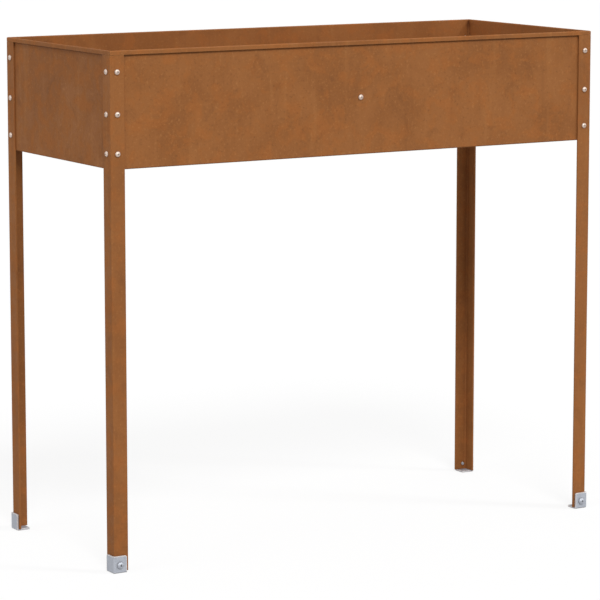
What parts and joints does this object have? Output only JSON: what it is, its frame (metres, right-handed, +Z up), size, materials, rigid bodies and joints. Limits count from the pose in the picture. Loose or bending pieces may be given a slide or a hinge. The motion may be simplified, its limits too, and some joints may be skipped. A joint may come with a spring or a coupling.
{
  "type": "planter box",
  "caption": "Raised rectangular planter box of rust-brown steel sheet with a folded rim, on L-angle legs with zinc-plated corner feet.",
  "frame": {"origin": "on the floor under the middle of the box", "axes": "+X along the box to its right end, seen from the front; +Y from the front to the back; +Z up"},
  "size_m": [1.0074, 0.415, 0.9],
  "materials": {
    "weathering_steel": "matte",
    "zinc_foot": "satin",
    "zinc_fastener": "satin"
  },
  "bodies": {
    "root": {"front_panel": "weathering_steel", "back_panel": "weathering_steel", "left_panel": "weathering_steel", "right_panel": "weathering_steel", "floor_panel": "weathering_steel", "cross_brace": "weathering_steel", "front_left_leg": "weathering_steel", "front_right_leg": "weathering_steel", "rear_left_leg": "weathering_steel", "rear_right_leg": "weathering_steel", "front_left_foot": "zinc_foot", "front_right_foot": "zinc_foot", "rear_left_foot": "zinc_foot", "rear_right_foot": "zinc_foot", "brace_bolts": "zinc_fastener", "brace_nuts": "zinc_fastener", "front_left_leg_bolts": "zinc_fastener", "front_left_leg_nuts": "zinc_fastener", "front_left_foot_bolt": "zinc_fastener", "front_right_leg_bolts": "zinc_fastener", "front_right_leg_nuts": "zinc_fastener", "front_right_foot_bolt": "zinc_fastener", "rear_left_leg_bolts": "zinc_fastener", "rear_left_leg_nuts": "zinc_fastener", "rear_left_foot_bolt": "zinc_fastener", "rear_right_leg_bolts": "zinc_fastener", "rear_right_leg_nuts": "zinc_fastener", "rear_right_foot_bolt": "zinc_fastener"}
  },
  "joints": []
}
